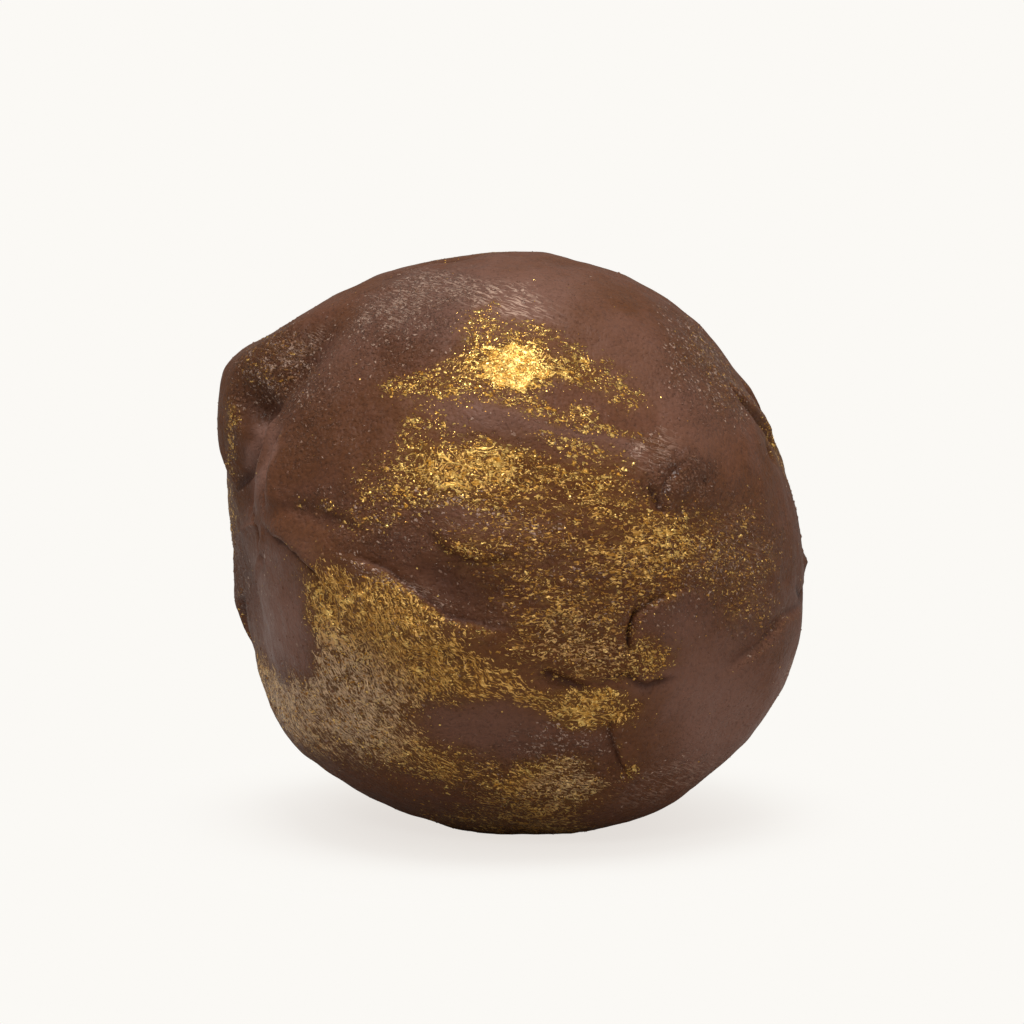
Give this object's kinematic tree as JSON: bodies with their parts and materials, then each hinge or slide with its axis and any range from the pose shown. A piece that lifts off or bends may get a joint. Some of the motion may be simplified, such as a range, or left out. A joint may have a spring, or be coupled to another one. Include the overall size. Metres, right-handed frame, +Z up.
{
  "type": "chocolate praline",
  "caption": "Hand-rolled ball of satin chocolate with a pinched ear, soft folds and lips, and a brushed dusting of gold lustre, standing on a small flat spot.",
  "frame": {"origin": "under the middle of the praline, on the plane of the flat spot that it stands on", "axes": "+Z up; the front that the picture shows faces -Y; +X is to the right as seen from the front, away from the pinched ear"},
  "size_m": [0.032, 0.0304, 0.031],
  "materials": {
    "chocolate": "satin chocolate with brushed gold lustre dust"
  },
  "bodies": {
    "root": {"praline": "chocolate"}
  },
  "joints": []
}
